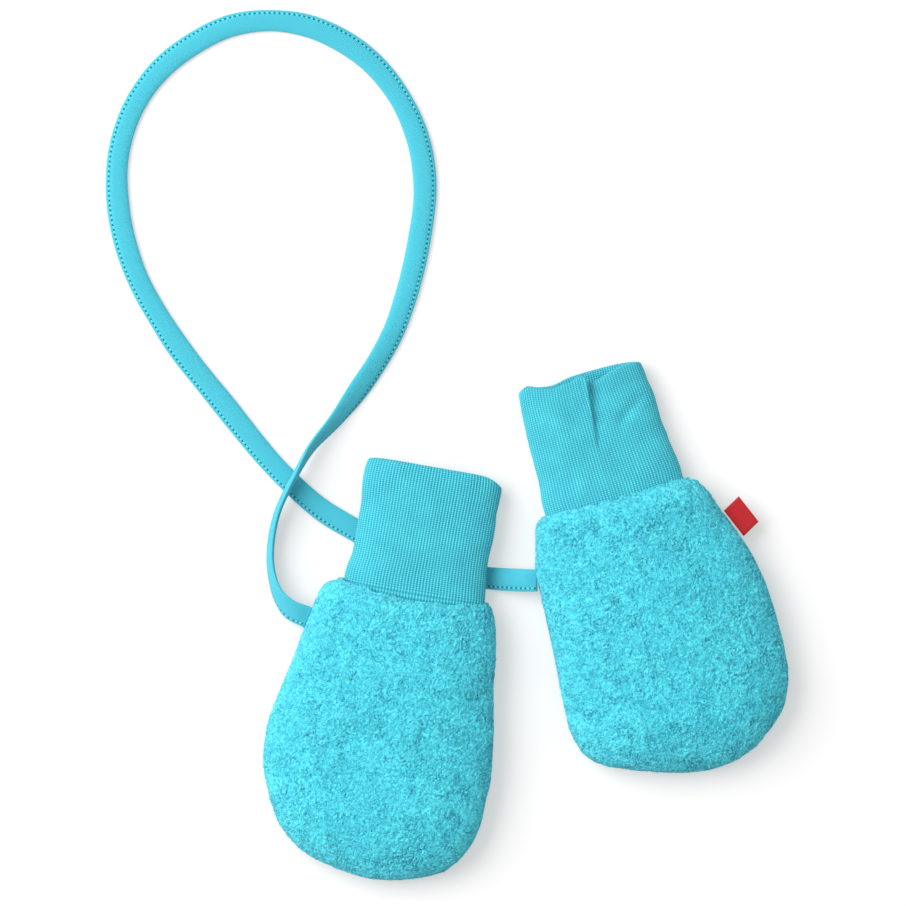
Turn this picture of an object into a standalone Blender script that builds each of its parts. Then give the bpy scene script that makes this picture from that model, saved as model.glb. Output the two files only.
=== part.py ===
# A pair of baby mittens, laid flat and joined by one long strap.
# Each mitten is a front and a back panel of curly fleece on an open, double rib-knit cuff.
# Units are metres, +Z is up, and the mittens lie on the plane z = 0.

import math

import bmesh
import bpy
import numpy as np

MM = 0.001

SEAM_GAP = 0.30 * MM          # between two sewn pieces
SEAM_HEIGHT = 7.0 * MM        # the side seams lie level, at this height
FLEECE_WALL = 3.2 * MM        # curly fleece, pile and backing
FLEECE_EDGE_WALL = 2.1 * MM   # the same cloth pressed thin where it is sewn to the cuff
RIB_WALL = 2.0 * MM           # rib knit, folded double
CUFF_CLEARANCE = 0.42 * MM    # panel's inner face to cuff, measured on the half axes
CUFF_INSIDE = 2.5 * MM        # how far the cuff reaches into the body

BACK_DEPTH = 7.8 * MM         # back panel's full depth below the seam, before the surface flattens it
TIP_ROUNDING = 26.0 * MM      # length over which a panel's height falls away at the tip
FRONT_FULLNESS = 2.4          # superellipse exponents: 2 is an oval, more is squarer
BACK_FULLNESS = 2.8
TIP_FULLNESS = 2.2

STRAP_WIDTH = 8.0 * MM
STRAP_THICKNESS = 2.4 * MM

TAB_REACH = 7.5 * MM          # how far the side tab stands out of the seam
TAB_THICKNESS = 1.1 * MM
TAB_LEAN = math.radians(29)   # direction in which the tab points, from the mitten's own x axis

PANEL_ROWS = 15
HALF_COLUMNS = 20             # columns from one side seam to the other

# Outlines in millimetres. "along" runs from the cuff seam to the tip, "left" and "right" are
# the widths from the mitten's centre line, and "crown" is the front's height over the seam.
LEFT_BODY = {
    "along": (0, 3, 8, 17, 29, 44, 59, 70, 80, 88, 94, 98),
    "left": (28.4, 32.6, 34.3, 36.4, 38.8, 42.0, 44.3, 43.3, 39.5, 35.2, 30.4, 25.4),
    "right": (27.6, 29.6, 31.3, 32.8, 34.1, 36.7, 38.5, 38.5, 37.9, 35.4, 31.4, 28.0),
    "crown": (9.9, 11.6, 12.2, 12.5, 12.8, 13.0, 13.0, 12.8, 12.5, 12.2, 12.0, 11.8),
}
RIGHT_BODY = {
    "along": (0, 3, 8, 15, 27, 42, 57, 69, 78, 86, 90, 93),
    "left": (28.1, 30.8, 32.2, 34.0, 35.2, 36.2, 37.2, 37.9, 38.0, 35.2, 31.6, 27.6),
    "right": (27.9, 31.1, 33.5, 35.9, 40.8, 44.2, 45.1, 44.7, 43.6, 40.2, 37.6, 34.1),
    "crown": (9.9, 11.6, 12.2, 12.5, 12.8, 13.0, 13.0, 12.8, 12.5, 12.2, 12.0, 11.8),
}

# Cuffs in millimetres: "up" runs from inside the body to the mouth, "bottom" and "top" are
# heights over the surface. The left cuff bridges the strap, the right one lies down.
LEFT_CUFF = {
    "up": (-2.5, 0, 4, 10, 18, 30, 40, 44.8),
    "left": (25.6, 25.6, 25.4, 24.6, 24.4, 24.4, 24.7, 24.2),
    "right": (25.4, 25.4, 25.0, 24.4, 24.2, 24.4, 24.7, 24.3),
    "bottom": (2.5, 2.5, 3.0, 3.2, 3.2, 3.1, 2.0, 1.5),
    "top": (14.2, 14.2, 14.1, 14.0, 13.8, 13.2, 12.5, 12.1),
}
RIGHT_CUFF = {
    "up": (-2.5, 0, 4, 10, 18, 30, 40, 45.5),
    "left": (25.6, 25.6, 25.8, 25.4, 24.9, 24.6, 24.2, 23.4),
    "right": (25.6, 25.4, 25.4, 24.5, 23.6, 23.2, 22.1, 21.6),
    "bottom": (2.5, 2.5, 2.3, 1.7, 1.1, 0.7, 0.5, 0.5),
    "top": (14.2, 14.2, 14.0, 13.5, 12.8, 12.1, 11.7, 11.5),
}

# The tuck that folds the right cuff's front wall in, from the mouth downwards (millimetres).
TUCK = {
    "mouth_across": 1.7,   # where its line meets the mouth, from the cuff's centre line
    "foot_across": -1.3,   # where its line fades out
    "foot_up": 18.0,       # height over the cuff seam where it fades out
    "depth": 3.4,          # how far it dips at the mouth
    "steep_side": 1.5,     # width of its steep left side
    "slow_side": 5.0,      # width of its slow right side
    "mouth_dip": 1.6,      # how far the front wall's edge is pulled back there
}

MITTENS = {
    "left": {
        "place": (-40.1, 11.0), "turn": -9.8,
        "body": LEFT_BODY, "cuff": LEFT_CUFF, "tuck": None,
        "mouth_arch": 4.0,    # how far the front panel's edge bows away from the cuff's mouth
        "tip_arch": 6.8, "tip_skew": 0.05,
        "corner_drop": (0.6, 2.9),
    },
    "right": {
        "place": (31.7, 44.5), "turn": 15.4,
        "body": RIGHT_BODY, "cuff": RIGHT_CUFF, "tuck": TUCK,
        "mouth_arch": 1.3,
        "tip_arch": 10.3, "tip_skew": 0.45,
        "corner_drop": (0.6, 1.0),
    },
}

TAB_ALONG = (15.3, 26.0)      # stretch of the right mitten's right seam that holds the tab, mm

# The strap's route from the left mitten's side seam to the right one's, in millimetres.
# "lift" is the gap under its lower edge, and "turn" is its twist: 0 and -180 lie flat, -90 is on edge.
STRAP_ROUTE = (
    # x, y, lift, turn
    (-79.2, 1.7, 5.6, -12),
    (-84.5, 4.1, 4.3, -32),
    (-88.9, 9.1, 2.2, -60),
    (-91.1, 15.4, 0.9, -74),
    (-91.9, 21.8, 0.3, -80),
    (-91.5, 29.0, 0.4, -82),
    (-89.4, 38.6, 1.8, -85),
    (-86.1, 46.3, 3.0, -87),
    (-82.8, 52.4, 3.0, -92),
    (-77.6, 61.4, 1.5, -106),
    (-68.4, 72.2, 0.3, -128),
    (-60.3, 83.0, 0.1, -149),
    (-53.1, 93.8, 0.1, -159),
    (-47.4, 104.6, 0.1, -170),
    (-43.6, 115.4, 0.1, -178),
    (-38.5, 136.5, 0.1, -180),
    (-36.4, 157.0, 0.1, -180),
    (-38.0, 169.6, 0.1, -180),
    (-41.6, 180.4, 0.1, -180),
    (-47.6, 191.2, 0.1, -180),
    (-56.2, 201.2, 0.1, -180),
    (-66.0, 208.3, 0.1, -180),
    (-78.4, 213.7, 0.1, -180),
    (-92.2, 215.6, 0.1, -180),
    (-106.4, 213.7, 0.1, -180),
    (-119.6, 207.3, 0.1, -180),
    (-131.6, 197.9, 0.1, -180),
    (-140.8, 185.0, 0.1, -180),
    (-146.3, 168.5, 0.1, -180),
    (-146.6, 149.0, 0.1, -180),
    (-141.0, 126.4, 0.1, -180),
    (-129.2, 104.6, 0.1, -180),
    (-108.6, 77.6, 0.1, -180),
    (-86.2, 51.2, 0.1, -180),
    (-73.6, 40.0, 0.1, -180),
    (-61.0, 32.3, 0.1, -180),
    (-45.4, 23.2, 0.1, -180),
    (-30.8, 17.9, 0.1, -180),
    (-14.0, 15.4, 0.1, -180),
    (-5.4, 14.8, 3.2, -180),
    (2.6, 14.6, 5.6, -180),
)
STRAP_REST = 0.1              # least gap under the strap, mm
STRAP_FINE_LENGTH = 110 * MM  # the stretch from the left mitten that turns and bends most
STRAP_FINE_STEP = 5.5 * MM
STRAP_STEP = 9.5 * MM

FLEECE_TURQUOISE = (0.079, 0.665, 0.815)
RIB_TURQUOISE = (0.080, 0.640, 0.740)
STRAP_TURQUOISE = (0.107, 0.701, 0.855)
TAB_RED = (0.52, 0.013, 0.018)


def clear_scene():
    for old in list(bpy.data.objects):
        bpy.data.objects.remove(old, do_unlink=True)


def cloth_material(name, colour, roughness):
    material = bpy.data.materials.new(name)
    material.use_nodes = True
    shader = material.node_tree.nodes["Principled BSDF"]
    shader.inputs["Base Color"].default_value = (*colour, 1.0)
    shader.inputs["Roughness"].default_value = roughness
    shader.inputs["Metallic"].default_value = 0.0
    return material


def smooth_column(xs, ys, at):
    """Values of ys at the places `at`, on a smooth curve through (xs, ys)."""
    xs = np.asarray(xs, float)
    ys = np.asarray(ys, float)
    steps = np.diff(xs)
    slopes = np.diff(ys) / steps
    tangents = np.empty_like(ys)
    tangents[0], tangents[-1] = slopes[0], slopes[-1]
    tangents[1:-1] = (slopes[:-1] * steps[1:] + slopes[1:] * steps[:-1]) / (steps[1:] + steps[:-1])
    at = np.clip(at, xs[0], xs[-1])
    row = np.clip(np.searchsorted(xs, at, side="right") - 1, 0, len(steps) - 1)
    h = steps[row]
    t = (at - xs[row]) / h
    return (
        ys[row] * (1 + 2 * t) * (1 - t) ** 2
        + h * tangents[row] * t * (1 - t) ** 2
        + ys[row + 1] * t * t * (3 - 2 * t)
        + h * tangents[row + 1] * t * t * (t - 1)
    )


def ease(value):
    value = np.clip(value, 0.0, 1.0)
    return value * value * (3 - 2 * value)


def across_columns():
    """Places of the columns from the left side (-1) to the right side (+1), closer at the sides."""
    t = np.linspace(-1, 1, HALF_COLUMNS + 1)
    return 0.85 * np.sin(t * math.pi / 2) + 0.15 * t


def height_share(across, fullness):
    """Superellipse: 1 over the centre line, falling upright to 0 at both sides."""
    return (1 - np.abs(across) ** fullness) ** (1 / fullness)


def body_rows(mitten, wall):
    """For each row of a panel: its place along, half widths and crown, set in by `wall`."""
    body = mitten["body"]
    last = body["along"][-1]
    along = last * (1 - np.cos(np.linspace(0, math.pi, PANEL_ROWS + 1))) / 2
    left = smooth_column(body["along"], body["left"], along) * MM
    right = smooth_column(body["along"], body["right"], along) * MM
    crown = smooth_column(body["along"], body["crown"], along) * MM
    share = along / last
    arch = mitten["tip_arch"] * MM * share ** 3
    tip = last * MM + mitten["tip_arch"] * MM
    from_tip = (tip - (along * MM + arch)) / TIP_ROUNDING
    rounding = (1 - np.clip(1 - from_tip, 0, 1) ** TIP_FULLNESS) ** (1 / TIP_FULLNESS)
    shrink = 1 - wall / tip
    return {
        "along": along * MM * shrink,
        "left": left,
        "right": right,
        "crown": crown,
        "rounding": rounding,
        "tip_arch": arch * shrink,
        "mouth_bow": mitten["mouth_arch"] * MM * np.clip(1 - along / 18, 0, 1) ** 2,
    }


def panel_surface(mitten, side, inside):
    """Grid of points of a panel's outer or inner face: side is +1 for the front, -1 for the back."""
    wall = FLEECE_WALL if inside else 0.0
    rows = body_rows(mitten, wall)
    across = across_columns()
    fullness = FRONT_FULLNESS if side > 0 else BACK_FULLNESS
    left, right = rows["left"], rows["right"]
    depth = rows["crown"] if side > 0 else np.full_like(left, BACK_DEPTH)
    floor = np.zeros_like(left)
    if inside:
        cuff = mitten["cuff"]
        fit = 1 - ease((rows["along"] - CUFF_INSIDE * 1.3) / (7 * MM))
        seam_share = SEAM_HEIGHT / MM
        cuff_depth = cuff["top"][0] - seam_share if side > 0 else seam_share - cuff["bottom"][0]
        fitted_left = cuff["left"][0] * MM + CUFF_CLEARANCE
        fitted_right = cuff["right"][0] * MM + CUFF_CLEARANCE
        fitted_depth = cuff_depth * MM + CUFF_CLEARANCE
        left = fit * fitted_left + (1 - fit) * (left - wall)
        right = fit * fitted_right + (1 - fit) * (right - wall)
        depth = fit * fitted_depth + (1 - fit) * (depth - wall)
        floor = fit * FLEECE_EDGE_WALL + (1 - fit) * wall
    half = (left + right) / 2
    middle = (right - left) / 2
    bulge = 1 - across ** 2
    x = middle[:, None] + half[:, None] * across
    bow = rows["mouth_bow"] if side > 0 else np.zeros_like(half)
    skew = 1 + mitten["tip_skew"] * across
    along = rows["along"][:, None] + bow[:, None] * bulge + rows["tip_arch"][:, None] * bulge * skew
    rise = (depth * rows["rounding"])[:, None] * height_share(across, fullness)
    z = SEAM_HEIGHT + side * (SEAM_GAP / 2 + rise)
    if side < 0:
        z = np.maximum(z, floor[:, None])
    return np.stack([x, -along, z], axis=-1)


def tuck_fall(tuck, across, up):
    """How far the tuck lowers the front wall, at places across and up in millimetres."""
    mouth_up = RIGHT_CUFF["up"][-1]
    share = (up - tuck["foot_up"]) / (mouth_up - tuck["foot_up"])
    line = tuck["foot_across"] + (tuck["mouth_across"] - tuck["foot_across"]) * share
    beside = across - line
    steep = np.exp(np.minimum(beside, 0) / tuck["steep_side"])
    slow = np.exp(-np.maximum(beside, 0) / tuck["slow_side"])
    return tuck["depth"] * np.clip(share, 0, 1) * steep * slow


def cuff_surface(mitten, wall):
    """Rings of points round a cuff, from inside the body to the mouth, set in by `wall`."""
    cuff = mitten["cuff"]
    up = np.array(cuff["up"], float)
    across = across_columns()
    mouth = up[-1]
    seam_share = (SEAM_HEIGHT / MM - cuff["bottom"][0]) / (cuff["top"][0] - cuff["bottom"][0])
    rings = []
    for row, height in enumerate(up):
        left, right = cuff["left"][row] - wall / MM, cuff["right"][row] - wall / MM
        low, high = cuff["bottom"][row] + wall / MM, cuff["top"][row] - wall / MM
        level = low + (high - low) * seam_share
        x = (right - left) / 2 + (right + left) / 2 * across
        near_mouth = np.clip(height / mouth, 0, 1) ** 6
        drop_left, drop_right = mitten["corner_drop"]
        side_drop = np.where(across < 0, drop_left, drop_right) * np.abs(across) ** 8
        place = height - side_drop * near_mouth
        bow = mitten["mouth_arch"] * (1 - across ** 2) * np.clip(-height / CUFF_INSIDE * MM, 0, 1)
        front_place = place - bow
        front = level + (high - level) * height_share(across, FRONT_FULLNESS)
        if mitten["tuck"]:
            tuck = mitten["tuck"]
            front = front - tuck_fall(tuck, x, height) * height_share(across, FRONT_FULLNESS)
            pull = tuck["mouth_dip"] * np.exp(-((x - tuck["mouth_across"]) / 6) ** 2)
            front_place = front_place - pull * near_mouth
        back = level - (level - low) * height_share(across, BACK_FULLNESS)
        over = np.stack([x, front_place, front], axis=-1)
        under = np.stack([x, place, back], axis=-1)
        rings.append(np.concatenate([over[:-1], under[:0:-1]]) * MM)
    return np.array(rings)


def closed_shell(name, outer, inner, wraps, material, parent):
    """One closed body between two matching grids. A grid that wraps is a tube, open at its ends."""
    rows, columns = outer.shape[:2]
    mesh = bmesh.new()
    points = [
        [[mesh.verts.new(point) for point in row] for row in grid]
        for grid in (outer.tolist(), inner.tolist())
    ]
    steps = columns if wraps else columns - 1
    for grid, turned in zip(points, (False, True)):
        for row in range(rows - 1):
            for column in range(steps):
                beside = (column + 1) % columns
                corners = [grid[row][column], grid[row][beside],
                           grid[row + 1][beside], grid[row + 1][column]]
                mesh.faces.new(corners[::-1] if turned else corners)
    edge = [(row, column) for row in (0, rows - 1) for column in range(steps)]
    for row, column in edge:
        beside = (column + 1) % columns
        mesh.faces.new([points[0][row][column], points[0][row][beside],
                        points[1][row][beside], points[1][row][column]])
    if not wraps:
        for row in range(rows - 1):
            for column in (0, columns - 1):
                mesh.faces.new([points[0][row][column], points[0][row + 1][column],
                                points[1][row + 1][column], points[1][row][column]])
    bmesh.ops.recalc_face_normals(mesh, faces=mesh.faces)
    bmesh.ops.triangulate(mesh, faces=mesh.faces)
    return add_piece(name, mesh, material, parent)


def add_piece(name, mesh, material, parent):
    data = bpy.data.meshes.new(name)
    mesh.to_mesh(data)
    mesh.free()
    data.materials.append(material)
    data.shade_smooth()
    data.set_sharp_from_angle(angle=math.radians(50))
    piece = bpy.data.objects.new(name, data)
    bpy.context.scene.collection.objects.link(piece)
    piece.parent = parent
    return piece


def mitten_empty(side, mitten):
    """The mitten's own frame: its origin is the middle of the cuff seam, +Y is towards the mouth."""
    empty = bpy.data.objects.new(side + "_mitten", None)
    bpy.context.scene.collection.objects.link(empty)
    empty.location = (mitten["place"][0] * MM, mitten["place"][1] * MM, 0)
    empty.rotation_euler = (0, 0, math.radians(mitten["turn"]))
    return empty


def build_mitten(side, mitten, fleece, rib):
    frame = mitten_empty(side, mitten)
    for label, facing in (("front", 1), ("back", -1)):
        closed_shell(
            f"{side}_{label}_panel",
            panel_surface(mitten, facing, inside=False),
            panel_surface(mitten, facing, inside=True),
            False, fleece, frame,
        )
    closed_shell(
        side + "_cuff", cuff_surface(mitten, 0.0), cuff_surface(mitten, RIB_WALL),
        True, rib, frame,
    )
    return frame


def build_side_tab(mitten, material, frame):
    """A folded tape: its base follows the side seam, its sides lean the same way."""
    body = mitten["body"]
    along = np.array(TAB_ALONG)
    seam = smooth_column(body["along"], body["right"], along) * MM
    base = np.stack([seam, -along * MM], axis=-1)
    run = base[1] - base[0]
    outward = np.array([-run[1], run[0]]) / np.linalg.norm(run)
    base = base + outward * (SEAM_GAP + 0.15 * MM)
    reach = TAB_REACH * np.array([math.cos(TAB_LEAN), math.sin(TAB_LEAN)])
    corners = [base[0], base[1], base[1] + reach, base[0] + reach]
    mesh = bmesh.new()
    low = SEAM_HEIGHT - TAB_THICKNESS / 2
    face = mesh.faces.new([mesh.verts.new((*corner, low)) for corner in corners])
    raised = bmesh.ops.extrude_face_region(mesh, geom=[face])["geom"]
    lifted = [item for item in raised if isinstance(item, bmesh.types.BMVert)]
    bmesh.ops.translate(mesh, vec=(0, 0, TAB_THICKNESS), verts=lifted)
    bmesh.ops.recalc_face_normals(mesh, faces=mesh.faces)
    bmesh.ops.bevel(
        mesh, geom=mesh.edges[:], offset=0.25 * MM, segments=2, profile=0.5, affect="EDGES",
    )
    bmesh.ops.triangulate(mesh, faces=mesh.faces)
    return add_piece("side_tab", mesh, material, frame)


def strap_stations():
    """Centre points and turns along the strap, read from a smooth curve through its route."""
    route = np.array(STRAP_ROUTE, float)
    reach = np.concatenate([[0], np.cumsum(np.linalg.norm(np.diff(route[:, :2], axis=0), axis=1))])
    length = reach[-1] * MM
    fine = np.arange(0, STRAP_FINE_LENGTH, STRAP_FINE_STEP)
    coarse = np.linspace(STRAP_FINE_LENGTH, length, round((length - STRAP_FINE_LENGTH) / STRAP_STEP))
    at = np.concatenate([fine, coarse]) / MM
    x, y, lift, turn = (smooth_column(reach, route[:, column], at) for column in range(4))
    turn = np.radians(np.clip(turn, -180, 0))
    flat_half = (STRAP_WIDTH - STRAP_THICKNESS) / 2
    lift = np.maximum(lift, STRAP_REST) * MM
    z = lift + STRAP_THICKNESS / 2 + flat_half * np.abs(np.sin(turn))
    return np.stack([x * MM, y * MM, z], axis=-1), turn


def build_strap(material):
    """A flat strip with rounded edges, carried along the route and given half a twist."""
    points, turns = strap_stations()
    curve = bpy.data.curves.new("joining_strap", "CURVE")
    curve.dimensions = "3D"
    curve.twist_mode = "Z_UP"
    curve.extrude = (STRAP_WIDTH - STRAP_THICKNESS) / 2
    curve.bevel_depth = STRAP_THICKNESS / 2
    curve.bevel_resolution = 2
    curve.use_fill_caps = True
    line = curve.splines.new("POLY")
    line.points.add(len(points) - 1)
    for point, place, turn in zip(line.points, points.tolist(), turns.tolist()):
        point.co = (*place, 1.0)
        point.tilt = turn - math.pi / 2
    line.use_smooth = True
    curve.materials.append(material)
    strap = bpy.data.objects.new("joining_strap", curve)
    bpy.context.scene.collection.objects.link(strap)
    return strap


def main():
    clear_scene()
    fleece = cloth_material("curly_fleece", FLEECE_TURQUOISE, 0.95)
    rib = cloth_material("rib_knit", RIB_TURQUOISE, 0.85)
    strap = cloth_material("strap_knit", STRAP_TURQUOISE, 0.85)
    woven = cloth_material("woven_tab", TAB_RED, 0.6)
    frames = {side: build_mitten(side, mitten, fleece, rib) for side, mitten in MITTENS.items()}
    build_side_tab(MITTENS["right"], woven, frames["right"])
    build_strap(strap)


main()
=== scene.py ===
import math

import bpy
import numpy as np
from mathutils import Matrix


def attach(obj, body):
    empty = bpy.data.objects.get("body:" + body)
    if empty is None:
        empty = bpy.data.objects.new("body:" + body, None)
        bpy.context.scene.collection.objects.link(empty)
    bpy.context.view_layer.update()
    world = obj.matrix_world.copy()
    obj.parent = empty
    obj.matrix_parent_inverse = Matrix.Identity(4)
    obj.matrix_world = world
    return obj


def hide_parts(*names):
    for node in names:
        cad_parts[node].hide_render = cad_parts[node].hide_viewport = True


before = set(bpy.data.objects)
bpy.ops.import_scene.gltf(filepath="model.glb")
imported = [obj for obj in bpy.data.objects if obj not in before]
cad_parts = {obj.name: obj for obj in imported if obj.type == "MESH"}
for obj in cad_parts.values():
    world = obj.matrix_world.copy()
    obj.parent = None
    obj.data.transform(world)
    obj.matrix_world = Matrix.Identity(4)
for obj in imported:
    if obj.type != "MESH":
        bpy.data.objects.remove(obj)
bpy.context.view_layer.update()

mm = 0.001
scene = bpy.context.scene

# The pair of mittens lies on z = 0. Lengths in the dictionaries are millimetres, angles are degrees.


def smoothColumn(xs, ys, at):
    # cubic through (xs, ys): y = y0 h00(t) + y1 h01(t) + slopes, with slopes averaged at each row
    xs, ys = np.asarray(xs, float), np.asarray(ys, float)
    steps = np.diff(xs)
    slopes = np.diff(ys) / steps
    tangents = np.empty_like(ys)
    tangents[0], tangents[-1] = slopes[0], slopes[-1]
    tangents[1:-1] = (slopes[:-1] * steps[1:] + slopes[1:] * steps[:-1]) / (steps[1:] + steps[:-1])
    at = np.clip(at, xs[0], xs[-1])
    row = np.clip(np.searchsorted(xs, at, side="right") - 1, 0, len(steps) - 1)
    h = steps[row]
    t = (at - xs[row]) / h
    return (
        ys[row] * (1 + 2 * t) * (1 - t) ** 2
        + h * tangents[row] * t * (1 - t) ** 2
        + ys[row + 1] * t * t * (3 - 2 * t)
        + h * tangents[row + 1] * t * t * (t - 1)
    )


def ease(value, low=0.0, high=1.0):
    t = np.clip((value - low) / (high - low), 0.0, 1.0)
    return t * t * (3 - 2 * t)


def evenPlaces(points, params, step):
    # params of places at an even arc length along the polyline `points`
    reach = np.concatenate([[0], np.cumsum(np.linalg.norm(np.diff(points, axis=0), axis=1))])
    count = max(2, int(round(reach[-1] / step)))
    return np.interp(np.linspace(0, reach[-1], count + 1), reach, params)


def heightShare(across, fullness):
    # superellipse: z = (1 - |c|^n)^(1/n)
    return np.clip(1 - np.abs(across) ** fullness, 0, 1) ** (1 / fullness)


def randomCell(ix, iy, seed):
    # one repeatable number from 0 to 1 for each whole-numbered cell
    n = (ix.astype(np.int64) * 374761393 + iy.astype(np.int64) * 668265263 + seed * 974634777)
    n = n & 0xFFFFFFFF
    n = ((n ^ (n >> 13)) * 1274126177) & 0xFFFFFFFF
    n = n ^ (n >> 16)
    return (n & 0xFFFFFF) / float(0xFFFFFF)


def softNoise(x, y, size, seed):
    # value noise: random numbers at the corners of cells of `size`, blended with 3t^2 - 2t^3
    u, v = x / size, y / size
    iu, iv = np.floor(u), np.floor(v)
    fu, fv = u - iu, v - iv
    fu, fv = fu * fu * (3 - 2 * fu), fv * fv * (3 - 2 * fv)
    a, b = randomCell(iu, iv, seed), randomCell(iu + 1, iv, seed)
    c, d = randomCell(iu, iv + 1, seed), randomCell(iu + 1, iv + 1, seed)
    return (a * (1 - fu) + b * fu) * (1 - fv) + (c * (1 - fu) + d * fu) * fv


def nubNoise(x, y, size, seed):
    # one point in each cell of `size`: distance to the nearest, to the next, and the nearest's number
    u, v = x / size, y / size
    iu, iv = np.floor(u), np.floor(v)
    first = np.full(u.shape, 9.0)
    second = np.full(u.shape, 9.0)
    number = np.zeros(u.shape)
    for du in (-1, 0, 1):
        for dv in (-1, 0, 1):
            cu, cv = iu + du, iv + dv
            px = cu + 0.12 + 0.76 * randomCell(cu, cv, seed)
            py = cv + 0.12 + 0.76 * randomCell(cu, cv, seed + 1)
            distance = np.hypot(px - u, py - v)
            closer = distance < first
            second = np.where(closer, first, np.minimum(second, distance))
            number = np.where(closer, randomCell(cu, cv, seed + 2), number)
            first = np.where(closer, distance, first)
    return first, second, number


def gridFaces(rows, columns, wrapRows=False, wrapColumns=False, start=0):
    r = np.arange(rows if wrapRows else rows - 1)
    c = np.arange(columns if wrapColumns else columns - 1)
    r, c = np.meshgrid(r, c, indexing="ij")
    r2, c2 = (r + 1) % rows, (c + 1) % columns
    quads = np.stack([r * columns + c, r * columns + c2, r2 * columns + c2, r2 * columns + c], axis=-1)
    return quads.reshape(-1, 4) + start


def tubeCaps(rows, columns):
    # triangles that close a tube's ends on the two points that follow its rings
    ring = np.arange(columns)
    onward, last = (ring + 1) % columns, (rows - 1) * columns
    near = np.stack([np.full(columns, rows * columns), onward, ring], axis=-1)
    far = np.stack([np.full(columns, rows * columns + 1), last + ring, last + onward], axis=-1)
    return [near, far]


def gridNormals(points, wrapRows=False, wrapColumns=False):
    # unit cross product of the grid's two directions
    def along(axis, wraps):
        if wraps:
            return np.roll(points, -1, axis) - np.roll(points, 1, axis)
        return np.gradient(points, axis=axis)
    normal = np.cross(along(0, wrapRows), along(1, wrapColumns))
    return normal / np.maximum(np.linalg.norm(normal, axis=-1, keepdims=True), 1e-12)


def makePiece(name, points, faces, material, smooth=True):
    # faces is a list of index arrays, of triangles or quads; the mesh is turned outwards as a whole
    mesh = bpy.data.meshes.new(name)
    corners = np.concatenate([part.reshape(-1) for part in faces]).astype(np.int32)
    sizes = np.concatenate([np.full(len(part), part.shape[1]) for part in faces]).astype(np.int32)
    starts = np.concatenate([[0], np.cumsum(sizes)[:-1]]).astype(np.int32)
    first = points[corners[starts]]
    volume = 0.0
    for offset in (1, 2):
        usable = sizes > offset + 1
        a = first[usable]
        b = points[corners[starts[usable] + offset]]
        c = points[corners[starts[usable] + offset + 1]]
        volume += np.einsum("ij,ij->i", a, np.cross(b, c)).sum()
    if volume < 0:
        corners = np.concatenate([part[:, ::-1].reshape(-1) for part in faces]).astype(np.int32)
    mesh.vertices.add(len(points))
    mesh.vertices.foreach_set("co", points.astype(np.float32).reshape(-1))
    mesh.loops.add(len(corners))
    mesh.loops.foreach_set("vertex_index", corners)
    mesh.polygons.add(len(sizes))
    mesh.polygons.foreach_set("loop_start", starts)
    mesh.polygons.foreach_set("use_smooth", np.full(len(sizes), smooth))
    mesh.update(calc_edges=True)
    mesh.materials.append(material)
    piece = bpy.data.objects.new(name, mesh)
    scene.collection.objects.link(piece)
    return piece


def storeValue(piece, name, values):
    # one number for each vertex, read by the material
    attribute = piece.data.attributes.new(name, "FLOAT", "POINT")
    attribute.data.foreach_set("value", values.astype(np.float32))


def storeUv(piece, name, uv):
    # uv is one pair for each vertex, copied to every corner that uses it
    mesh = piece.data
    layer = mesh.uv_layers.new(name=name)
    index = np.empty(len(mesh.loops), np.int32)
    mesh.loops.foreach_get("vertex_index", index)
    layer.data.foreach_set("uv", uv[index].astype(np.float32).reshape(-1))


def placed(points, mitten):
    # from the mitten's own millimetres to the frame's metres: turn about Z, then move
    turn = math.radians(mitten["turn"])
    x = points[..., 0] * math.cos(turn) - points[..., 1] * math.sin(turn) + mitten["place"][0]
    y = points[..., 0] * math.sin(turn) + points[..., 1] * math.cos(turn) + mitten["place"][1]
    return np.stack([x, y, points[..., 2]], axis=-1) * mm


def linear(red, green, blue):
    parts = np.array([red, green, blue]) / 255.0
    return tuple(np.where(parts <= 0.04045, parts / 12.92, ((parts + 0.055) / 1.055) ** 2.4)) + (1.0,)


def nodeTools(tree):
    def add(kind, **settings):
        node = tree.nodes.new(kind)
        for key, value in settings.items():
            setattr(node, key, value)
        return node

    def plug(value, socket):
        if isinstance(value, bpy.types.NodeSocket):
            tree.links.new(value, socket)
        else:
            socket.default_value = value

    def sums(operation, a, b=0.0, c=0.0, clamp=False):
        node = add("ShaderNodeMath", operation=operation, use_clamp=clamp)
        for value, socket in zip((a, b, c), node.inputs):
            plug(value, socket)
        return node.outputs[0]

    def blend(share, a, b):
        node = add("ShaderNodeMix", data_type="RGBA")
        plug(share, node.inputs["Factor"])
        plug(a, node.inputs[6])
        plug(b, node.inputs[7])
        return node.outputs[2]

    def noise(vector, scale, detail=2.0, roughness=0.5):
        node = add("ShaderNodeTexNoise")
        plug(vector, node.inputs["Vector"])
        node.inputs["Scale"].default_value = scale
        node.inputs["Detail"].default_value = detail
        node.inputs["Roughness"].default_value = roughness
        return node.outputs["Fac"]

    return add, plug, sums, blend, noise


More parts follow.
